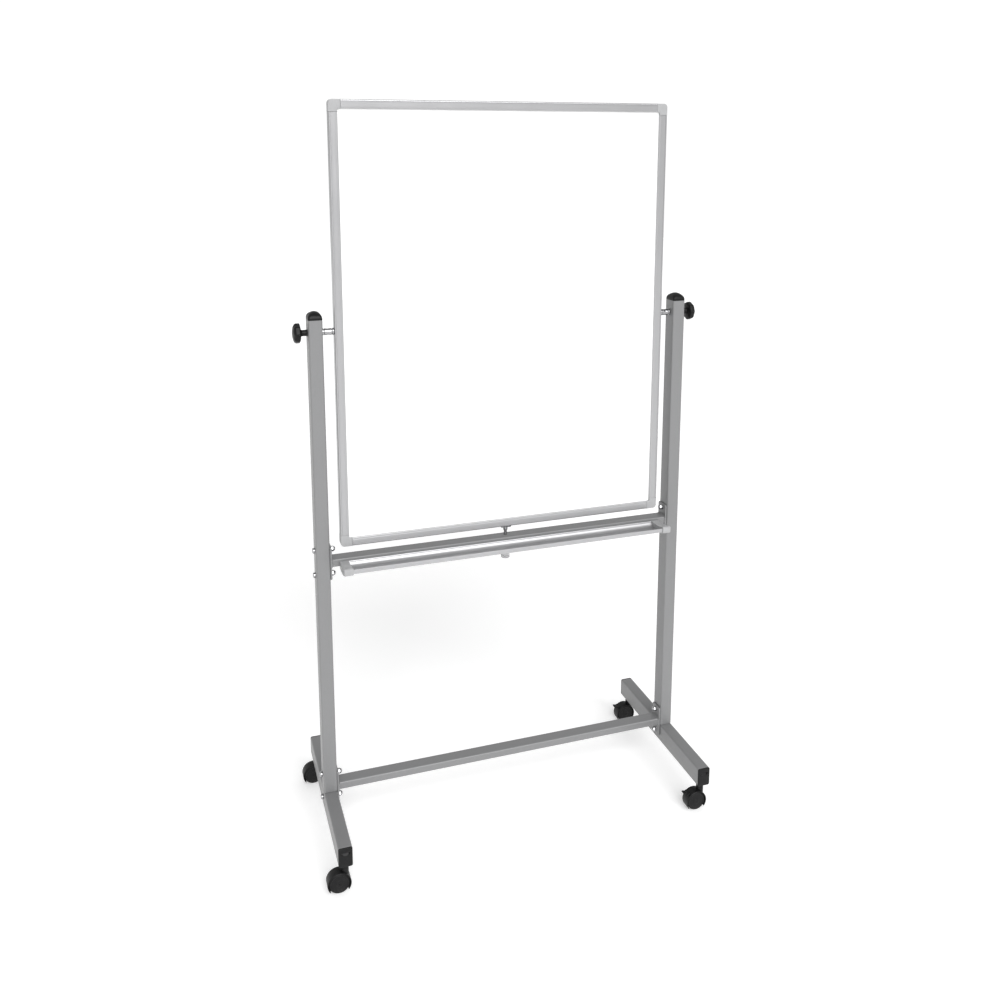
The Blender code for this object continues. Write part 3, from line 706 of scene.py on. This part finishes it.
# the cap's section, measured from its front edge and top, in the same way
capShape = {
    "rear": [(0.0652, -0.0238), (0.0652, -0.0065)],
    "upper": [(0.0528, -0.0070), (0.0308, -0.0060), (0.0128, -0.0028), (0.0040, 0.0000), (0.0016, -0.0007)],
    "nose": [(0.0000, -0.0025), (0.0000, -0.0135), (0.0013, -0.0160)],
    "under": [(0.0038, -0.0170), (0.0228, -0.0228), (0.0378, -0.0245), (0.0530, -0.0247)],
    "edge": 0.0012,
}


def makeTrayCap(side, sign):
    node = side + "_tray_cap"
    low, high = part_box(node)
    y, z = low.y, high.z
    outline = capShape["rear"] + through(capShape["upper"], 4) + capShape["nose"]
    outline += through(capShape["under"], 4)
    outline = [(y + u, z + v) for u, v in outline]
    edge = capShape["edge"]
    inner, outer = (low.x, high.x) if sign > 0 else (high.x, low.x)
    shrunk = grown(outline, -edge)
    lean = grown(outline, -edge * 0.3)
    rows = [(inner, lean), (inner + sign * 0.0004, outline), (outer - sign * edge, outline)]
    rows += [(outer - sign * edge * 0.3, lean), (outer, shrunk)]
    obj = newObject(node + "_fine", skin(bmesh.new(), [lay("x", o, x) for x, o in rows]), greyMould)
    slot = grown(trayOutline(), gap)  # the tray slips in here
    stop = sign * (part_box("marker_tray")[1].x + gap)
    carve(obj, [skin(bmesh.new(), [lay("x", slot, x) for x in (inner - sign * 0.01, stop)])])
    return standFor(obj, node)


latchShape = {"rod": 0.0040, "headWidth": 0.027, "headDepth": 0.018, "headTall": 0.0030,
              "headCorner": 0.004, "neck": 0.0056,
              "neckFrom": 0.0680, "hex": 0.0115, "bore": 0.0043}


def makeLatch():
    low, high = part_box("latch_plunger")
    head = high.z - latchShape["headTall"]
    radius, neck, start = latchShape["rod"], latchShape["neck"], latchShape["neckFrom"]
    bm = bmesh.new()
    rod = [(0.0, radius - 0.0010), (0.0008, radius), (start, radius), (start + 0.0003, neck - 0.0004)]
    rod += [(start + 0.0008, neck), (head - low.z - 0.0009, neck), (head - low.z + 0.0004, neck + 0.0010)]
    turn(bm, "z", rod, (0.0, 0.0, low.z), 48)
    rows = ((head, 0.0012), (head + 0.0005, 0.0004), (head + 0.0010, 0.0), (high.z - 0.0008, 0.0),
            (high.z, 0.0008))
    rings = []
    for z, shrink in rows:
        outline = rounded(latchShape["headWidth"] - 2 * shrink, latchShape["headDepth"] - 2 * shrink,
                          latchShape["headCorner"])
        rings.append(lay("z", outline, z))
    skin(bm, rings)
    piece("latch_plunger", bm, steel)
    low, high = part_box("latch_pull")
    tall = high.z - low.z
    wide, bore = latchShape["hex"], latchShape["bore"]
    hexagon = {"flats": 1.0}
    softHex = {"flats": 0.55}
    # chamfered hexagon with a fine groove around its middle, bored from above for the rod
    rows = [(0.0, wide - 0.0018), (0.0, wide - 0.0014, {"flats": 0.3}), (0.0012, wide, softHex)]
    rows += [(0.0018, wide, hexagon), (tall * 0.46, wide, hexagon), (tall * 0.50, wide - 0.0004, hexagon)]
    rows += [(tall * 0.54, wide, hexagon), (tall - 0.0018, wide, hexagon), (tall - 0.0012, wide, softHex)]
    rows += [(tall, wide - 0.0016), (tall, bore), (0.0024, bore)]
    bm = turn(bmesh.new(), "z", rows, (0.0, 0.0, low.z), 96)
    piece("latch_pull", bm, steel, 30)


random.seed(7)
for side, sign in sides:
    makePost(side)
    makePostCap(side)
    makeFoot(side)
    for end, direction in ends:
        makeFootCap(side, end, direction)
    makeTrayCap(side, sign)
    for level in ("lower", "upper"):
        for place in ("bottom", "top"):
            makeBolt(f"bolt_{level}_{side}_{place}", side, sign)
for node in ("lower_crossbar", "upper_crossbar"):
    makeCrossbar(node)
makeTray()
makeLatch()
print("stand made")


# ---- board

railShape = {"face": 0.020, "wall": 0.0016, "edge": 0.0026, "groove": 0.0042, "grooveWide": 0.0009,
             "grooveDeep": 0.0006, "slot": 0.0063, "lip": 0.0012}


def railSection(half):
    # u inwards from the board's edge, v through its thickness
    face, wall, slot = railShape["face"], railShape["wall"], railShape["slot"]
    groove, wide, deep = railShape["groove"], railShape["grooveWide"] / 2, railShape["grooveDeep"]
    soft, lip = railShape["edge"], railShape["lip"]
    front = arc((soft, -half + soft), soft, 180, 270, 8)
    front += [(groove - wide - 0.0002, -half), (groove - wide, -half + 0.0002), (groove - wide, -half + deep)]
    front += [(groove + wide, -half + deep), (groove + wide, -half + 0.0002), (groove + wide + 0.0002, -half)]
    front += [(face - 0.0052, -half), (face - 0.0048, -half + 0.0003)]
    front += arc((face - lip, -half + lip + 0.0003), lip, 270, 360, 5)
    front += [(face, -slot), (face - wall, -slot), (face - wall, -half + wall), (wall, -half + wall)]
    return front + [(u, -v) for u, v in reversed(front)]


def makeRail(edge):
    node = "rail_" + edge
    low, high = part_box(node)
    section = railSection((high.y - low.y) / 2)
    rings = []
    if edge in ("left", "right"):
        for z in (low.z, high.z):
            rings.append([((low.x + u) if edge == "left" else (high.x - u), v, z) for u, v in section])
    else:
        for x in (low.x, high.x):
            rings.append([(x, v, (low.z + u) if edge == "bottom" else (high.z - u)) for u, v in section])
    upright = edge in ("left", "right")
    obj = newObject(node + "_fine", skin(bmesh.new(), rings), alongZ if upright else alongX, 30)
    if upright:
        # the pivot stud's hole
        sign = -1 if edge == "left" else 1
        stud = middle(edge + "_pivot_stud")
        outer = max(abs(low.x), abs(high.x))
        rows = [(sign * (outer + 0.004), studShape["bore"]), (sign * (outer - 0.004), studShape["bore"])]
        carve(obj, [turn(bmesh.new(), "x", rows, (0.0, 0.0, stud.z), 40)], sharp=30)
    return standFor(obj, node)


cornerShape = {"leg": 0.027, "radius": 0.009, "edge": 0.0013, "inner": 0.0035, "panel": 0.0037, "past": 0.06}


def makeCorner(vertical, side):
    node = f"corner_{vertical}_{side}"
    sx = -1 if side == "left" else 1
    sz = 1 if vertical == "top" else -1
    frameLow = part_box("corner_bottom_left")[0]
    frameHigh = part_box("corner_top_right")[1]
    centerZ = (frameLow.z + frameHigh.z) / 2
    halfW = frameHigh.x
    halfH = (frameHigh.z - frameLow.z) / 2
    thick = frameHigh.y
    leg, r, face = cornerShape["leg"], cornerShape["radius"], railShape["face"]
    ri = cornerShape["inner"]
    outline = [(halfW - leg, halfH - face), (halfW - leg, halfH)]
    outline += arc((halfW - r, halfH - r), r, 90, 0, 14)
    outline += [(halfW, halfH - leg), (halfW - face, halfH - leg)]
    outline += [(halfW - face - ri * (1 - math.sin(a)), halfH - face - ri * (1 - math.cos(a)))
                for a in [math.pi / 2 * (1 - k / 5) for k in range(6)]]
    edge = cornerShape["edge"]
    centre = Vector((halfW - leg / 2, halfH - leg / 2))
    rings = []
    for k in range(-5, 6):
        depth = abs(k) / 5
        if depth == 0:
            continue
        angle = math.pi / 2 * max(0.0, depth * 5 - 1) / 4
        y = math.copysign(thick - edge * (1 - math.sin(angle)), k)
        shrink = edge * (1 - math.cos(angle))
        share = 1 - 2 * shrink / leg
        rings.append([(sx * (centre.x + (u - centre.x) * share), y,
                       centerZ + sz * (centre.y + (v - centre.y) * share)) for u, v in outline])
    obj = newObject(node + "_fine", skin(bmesh.new(), rings), greyMould)
    # room for the panel
    reach, past = cornerShape["panel"], cornerShape["past"]
    slotLow = (min(sx * (halfW - past), sx * (halfW - reach)), -railShape["slot"],
               centerZ + min(sz * (halfH - past), sz * (halfH - reach)))
    slotHigh = (max(sx * (halfW - past), sx * (halfW - reach)), railShape["slot"],
                centerZ + max(sz * (halfH - past), sz * (halfH - reach)))
    carve(obj, [block(slotLow, slotHigh)])
    return standFor(obj, node)


sheetShape = {"corner": 0.002, "edge": 0.0001}


def makeSheet(node):
    low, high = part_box(node)
    center = middle(node)
    width, height = high.x - low.x, high.z - low.z
    edge = sheetShape["edge"]
    rings = []
    for y, shrink in ((low.y, edge), (low.y + edge, 0.0), (high.y - edge, 0.0), (high.y, edge)):
        outline = rounded(width - 2 * shrink, height - 2 * shrink, sheetShape["corner"])
        rings.append(lay("y", outline, y, center))
    return piece(node, skin(bmesh.new(), rings), enamelWhite)


studShape = {"shank": 0.0040, "collar": 0.0080, "waist": 0.0072, "groove": 0.0064,
             "bore": 0.0045, "soft": 0.0006}


def makeStud(side, sign):
    # collar with a rolled groove near each end; a plain shank goes on through the post into the knob
    node = side + "_pivot_stud"
    low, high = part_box(node)
    center = middle(node)
    inner, outer = min(abs(low.x), abs(high.x)), max(abs(low.x), abs(high.x))
    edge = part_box("rail_right")[1].x + gap
    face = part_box("right_post")[0].x - gap
    collar, groove = studShape["collar"], studShape["groove"]
    rows = [(inner, studShape["shank"]), (edge, studShape["shank"])]
    soft = studShape["soft"]
    body = [(edge, studShape["bore"]), (edge, collar - soft), (edge + soft, collar), (edge + 0.0034, collar)]
    body += [(edge + 0.0038, groove), (edge + 0.0050, groove), (edge + 0.0054, collar)]
    span = face - edge
    body += [(edge + span * 0.5, studShape["waist"]), (face - 0.0054, collar), (face - 0.0050, groove)]
    body += [(face - 0.0038, groove), (face - 0.0034, collar), (face - soft, collar), (face, collar - soft)]
    rows += soften(body, soft, 3) + [(face, studShape["shank"]), (outer - 0.001, studShape["shank"])]
    rows += [(outer, studShape["shank"] - 0.001)]
    rows = [(sign * station, radius) for station, radius in rows]
    return piece(node, turn(bmesh.new(), "x", rows, (0.0, center.y, center.z), 64), steel, 30)


knobShape = {"lobes": 8, "depth": 0.065, "neck": 0.0072, "foot": 0.0079, "tip": 0.0012,
             "roof": 0.0085, "bore": 0.0043, "count": 128}


def makeKnob(side, sign):
    # fat rounded hand knob on a straight neck
    node = side + "_clamp_knob"
    low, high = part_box(node)
    center = middle(node)
    start, stop = min(abs(low.x), abs(high.x)), max(abs(low.x), abs(high.x))
    wide = (high.z - low.z) / 2
    long = stop - start
    neck, foot, tip = knobShape["neck"], knobShape["foot"], knobShape["tip"]
    profile = [(0.0, foot), (0.0010, foot), (0.0024, neck), (0.0118, neck), (0.0140, 0.0100)]
    profile += [(0.0150, 0.0170), (0.0172, wide - 0.0004), (0.0215, wide), (0.0262, wide - 0.0005)]
    profile += [(0.0298, wide * 0.80), (0.0316, wide * 0.52), (long, wide * 0.26), (long, tip)]
    fine = through(profile[:12], 5) + profile[12:]
    rows = []
    for station, radius in fine:
        share = max(0.0, min(1.0, (radius - 0.0105) / 0.010))
        lobed = {"lobes": knobShape["lobes"], "depth": knobShape["depth"] * share}
        rows.append((station, min(radius, wide), lobed))
    floor = long - knobShape["roof"]
    rows += [(floor, tip), (floor, knobShape["bore"]), (0.0, knobShape["bore"])]
    rows = [(sign * (start + min(row[0], long)), *row[1:]) for row in rows]
    bm = turn(bmesh.new(), "x", rows, (0.0, center.y, center.z), knobShape["count"], closed=True)
    return piece(node, bm, blackMould, 50)


for edge in ("left", "right", "bottom", "top"):
    makeRail(edge)
for vertical in ("top", "bottom"):
    for side, sign in sides:
        makeCorner(vertical, side)
for node in ("writing_sheet_front", "writing_sheet_rear"):
    makeSheet(node)
for side, sign in sides:
    makeStud(side, sign)
    makeKnob(side, sign)
coreNode = frame["nodes"]["board_core"]
coreNode.data.materials.clear()
coreNode.data.materials.append(core)
print("board made")


# ---- casters

brakeShape = {"reach": 0.0287, "angle": 135, "tilt": -14, "half": 0.0064, "ear": 0.0034, "earHalf": 0.0092,
              "ribs": (-0.0052, -0.0078, -0.0104)}
hoodShape = {"outer": 0.0270, "well": 0.0250, "half": 0.0126, "web": 0.0017, "start": -38, "end": 218,
             "steps": 72, "edge": 0.0009, "boss": 0.0090, "stem": 0.0043, "axle": 0.0030, "axleHalf": 0.0089}


def makeHousing(node, stem, axle, brake):
    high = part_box(node)[1]
    half, outer, well, edge = hoodShape["half"], hoodShape["outer"], hoodShape["well"], hoodShape["edge"]
    # rim section: radius from the axle, and distance across
    section = [(well, -half + edge * 0.5)]
    section += [(outer - edge + edge * math.cos(a), -half + edge - edge * math.sin(a))
                for a in [math.pi / 2 * (1 - k / 5) for k in range(6)]]
    section += [(outer - edge + edge * math.cos(a), half - edge + edge * math.sin(a))
                for a in [math.pi / 2 * k / 5 for k in range(6)]]
    section += [(well, half - edge * 0.5)]
    rings = []
    start, end, steps = hoodShape["start"], hoodShape["end"], hoodShape["steps"]
    for k in range(steps + 1):
        angle = math.radians(start + (end - start) * k / steps)
        rings.append([(axle.x + r * math.cos(angle), axle.y + w, axle.z + r * math.sin(angle))
                      for r, w in section])
    obj = newObject(node + "_fine", skin(bmesh.new(), rings), blackMould)
    disc = arc((0.0, 0.0), well + 0.0005, start - 2, end + 2, steps)
    web = skin(bmesh.new(), [lay("y", disc, axle.y + w, axle) for w in (-hoodShape["web"], hoodShape["web"])])
    top = high.z - axle.z
    wide = hoodShape["boss"]
    boss = [(0.0060, wide), (top - 0.0030, wide), (top - 0.0008, wide - 0.0007), (top, wide - 0.0014)]
    joins = [web, turn(bmesh.new(), "z", boss, (stem.x, stem.y, axle.z), 56)]
    if brake is not None:
        ear, earHalf = brakeShape["ear"], brakeShape["earHalf"]
        ears = [(-earHalf, ear - 0.0006), (-earHalf + 0.0004, ear), (earHalf - 0.0004, ear),
                (earHalf, ear - 0.0006)]
        joins.append(turn(bmesh.new(), "y", ears, brake, 32))
    carve(obj, joins, "UNION")
    # wheels clear the boss inside the rim
    cuts = []
    for sign in (-1, 1):
        wall = [(sign * hoodShape["web"], well), (sign * (half + 0.004), well)]
        cuts.append(turn(bmesh.new(), "y", wall, axle, 96))
    bore = [(0.0245, hoodShape["stem"]), (0.060, hoodShape["stem"])]
    cuts.append(turn(bmesh.new(), "z", bore, (stem.x, stem.y, axle.z), 40))
    if brake is not None:
        cuts.append(turn(bmesh.new(), "y", [(-0.0069, 0.0040), (0.0069, 0.0040)], brake, 32))
        cuts.append(turn(bmesh.new(), "y", [(-0.02, 0.0015), (0.02, 0.0015)], brake, 24))
    carve(obj, cuts)
    pinHalf, pinRadius = hoodShape["axleHalf"], hoodShape["axle"]
    pin = [(-pinHalf, pinRadius - 0.0006), (-pinHalf + 0.0006, pinRadius), (pinHalf - 0.0006, pinRadius),
           (pinHalf, pinRadius - 0.0006)]
    carve(obj, [turn(bmesh.new(), "y", pin, axle, 32)], "UNION")
    return standFor(obj, node)


wheelShape = {"radius": 0.0240, "hub": 0.0074, "bore": 0.0033, "grooves": (0.0031, 0.0054)}


def makeWheel(node, sign):
    # rounded tread with two fine grooves, dished outer face with a raised hub
    low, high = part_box(node)
    axle = middle(node)
    inner = low.y - axle.y if sign > 0 else axle.y - high.y
    wide = high.y - low.y
    r = wheelShape["radius"]
    hub, bore = wheelShape["hub"], wheelShape["bore"]
    rim = [(0.0, bore), (0.0, 0.0070), (0.0006, 0.0180), (0.0, 0.0205), (0.0, r - 0.0012), (0.0010, r)]
    for groove in wheelShape["grooves"]:
        rim += [(groove - 0.0003, r), (groove - 0.0001, r - 0.0004), (groove + 0.0002, r - 0.0004)]
        rim += [(groove + 0.0004, r)]
    rim += [(wide - 0.0024, r), (wide - 0.0012, r - 0.0007), (wide - 0.0003, r - 0.0022), (wide, r - 0.0038)]
    rim += [(wide - 0.0006, r - 0.0050), (wide - 0.0014, r - 0.0056), (wide - 0.0012, 0.0120)]
    rim += [(wide - 0.0010, hub + 0.0010), (wide - 0.0003, hub), (wide - 0.0001, 0.0050)]
    rim += [(wide - 0.0001, 0.0010), (wide - 0.0018, 0.0010), (wide - 0.0018, bore)]
    rows = soften(rim, 0.0003, 2)
    rows = [(sign * (inner + station), radius) for station, radius in rows]
    return piece(node, turn(bmesh.new(), "y", rows, axle, 96, closed=True), wheelBlack, 40)


stemShape = {"shank": 0.0040, "collar": 0.0085, "collarTall": 0.0025, "nut": 0.0070, "nutTall": 0.0050}


def makeStem(node):
    low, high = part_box(node)
    center = middle(node)
    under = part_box("left_foot")[0].z - gap
    over = under + 2 * gap + tubing["wall"]
    collar = under - stemShape["collarTall"]
    shank, flange, nut = stemShape["shank"], stemShape["collar"], stemShape["nut"]
    top = over + stemShape["nutTall"]
    sixSided = {"flats": 0.9}
    rows = [(low.z, shank - 0.0006), (low.z + 0.0006, shank), (collar, shank), (collar, flange - 0.0004)]
    rows += [(collar + 0.0004, flange), (under - 0.0004, flange), (under, flange - 0.0004), (under, shank)]
    rows += [(over, shank), (over, nut, sixSided), (top, nut, sixSided), (top, shank)]
    rows += [(high.z, shank - 0.0004)]
    bm = turn(bmesh.new(), "z", rows, (center.x, center.y, 0.0), 48)
    return piece(node, bm, steel, 30)




def makeBrake(node, hinge):
    # foot tab with a rounded end and three grip ribs, on a pin between the hood's ears
    pin = [(-0.0088, 0.0010), (-0.0086, 0.0012), (-0.0066, 0.0012), (-0.0066, 0.0024), (0.0066, 0.0024)]
    pin += [(0.0066, 0.0012), (0.0086, 0.0012), (0.0088, 0.0010)]
    obj = newObject(node + "_fine", turn(bmesh.new(), "y", pin, hinge, 32), blackMould)
    top = [(-0.0005, 0.0018)]
    for rib in brakeShape["ribs"]:
        base = 0.0019 + (-rib - 0.0005) * 0.03
        top += [(rib + 0.0008, base), (rib + 0.0004, base + 0.0004)]
        top += [(rib - 0.0004, base + 0.0004), (rib - 0.0008, base)]
    tab = top + [(-0.0128, 0.0022), (-0.0137, 0.0014), (-0.0140, 0.0005), (-0.0136, -0.0004)]
    tab += [(-0.0128, -0.0008), (-0.0005, -0.0012)]
    lean = math.radians(brakeShape["tilt"])
    turned = (math.cos(lean), math.sin(lean))
    ring = [(u * turned[0] - v * turned[1], u * turned[1] + v * turned[0]) for u, v in tab]
    half = brakeShape["half"]
    stations = ((-half, 0.93), (-half + 0.0005, 1.0), (half - 0.0005, 1.0), (half, 0.93))
    rings = [lay("y", [(u * share, v * share) for u, v in ring], hinge.y + w, hinge) for w, share in stations]
    carve(obj, [skin(bmesh.new(), rings)], "UNION")
    return standFor(obj, node)


for side, sx in sides:
    for end, sy in ends:
        caster = f"caster_{side}_{end}"
        wheels = [middle(f"{caster}_wheel_{face}") for face, sign in ends]
        axle = (wheels[0] + wheels[1]) / 2
        stem = middle(caster + "_stem")
        hinge = None
        if side == "right":
            angle = math.radians(brakeShape["angle"])
            hinge = axle + Vector((math.cos(angle), 0.0, math.sin(angle))) * brakeShape["reach"]
            makeBrake(caster + "_brake", hinge)
        makeHousing(caster + "_housing", stem, axle, hinge)
        makeStem(caster + "_stem")
        for face, sign in ends:
            makeWheel(f"{caster}_wheel_{face}", sign)
print("casters made")


# ---- studio

# key angles in degrees: tilt from straight down, turn to the right, spread of its soft edge
studio = {"backdrop": 1.05, "level": 0.74, "overhead": 0.46, "key": 2.35, "keyTilt": 54.0, "keyTurn": 2.0,
          "keySpread": 46.0}


def makeFloor():
    half = paleFloor["half"]
    bm = bmesh.new()
    outline = rounded(2 * half, 2 * half, 1.0, 4)
    skin(bm, [lay("z", outline, z) for z in (-0.02, 0.0)])
    floor = newObject("paleFloor", bm, floorLook())


def makeWorld():
    # an even white backdrop behind; the room that lights the object is darker overhead than at eye level
    world = bpy.data.worlds.new("studio")
    bpy.context.scene.world = world
    world.use_nodes = True
    tree = world.node_tree
    back = tree.nodes["Background"]
    path = tree.nodes.new("ShaderNodeLightPath")
    spot = tree.nodes.new("ShaderNodeTexCoord")
    part = tree.nodes.new("ShaderNodeSeparateXYZ")
    tree.links.new(spot.outputs["Generated"], part.inputs[0])
    fade = tree.nodes.new("ShaderNodeMapRange")
    fade.inputs["To Min"].default_value = studio["level"]
    fade.inputs["To Max"].default_value = studio["overhead"]
    tree.links.new(part.outputs["Z"], fade.inputs["Value"])
    mix = tree.nodes.new("ShaderNodeMix")
    mix.inputs[3].default_value = studio["backdrop"]
    tree.links.new(path.outputs["Is Camera Ray"], mix.inputs[0])
    tree.links.new(fade.outputs[0], mix.inputs[2])
    tree.links.new(mix.outputs[0], back.inputs["Strength"])
    back.inputs["Color"].default_value = (1.0, 1.0, 1.0, 1.0)


def makeKey():
    # one broad soft light from the front, above eye level
    data = bpy.data.lights.new("key", "SUN")
    data.energy = studio["key"]
    data.angle = math.radians(studio["keySpread"])
    lamp = bpy.data.objects.new("key", data)
    bpy.context.scene.collection.objects.link(lamp)
    lamp.rotation_euler = (math.radians(studio["keyTilt"]), 0.0, math.radians(studio["keyTurn"]))


view = {"place": (-0.740, -2.1783, 1.646), "pitch": -10.10, "yaw": -18.44, "lens": 35.535, "shift": -0.178}


def makeCamera():
    data = bpy.data.cameras.new("view")
    data.sensor_width = 36.0
    data.lens = view["lens"]
    data.shift_y = view["shift"]
    camera = bpy.data.objects.new("view", data)
    bpy.context.scene.collection.objects.link(camera)
    camera.location = view["place"]
    camera.rotation_euler = (math.radians(90 + view["pitch"]), 0.0, math.radians(view["yaw"]))
    bpy.context.scene.camera = camera


makeFloor()
makeWorld()
makeKey()
makeCamera()
bpy.context.scene.view_settings.view_transform = "Standard"
print("studio made")
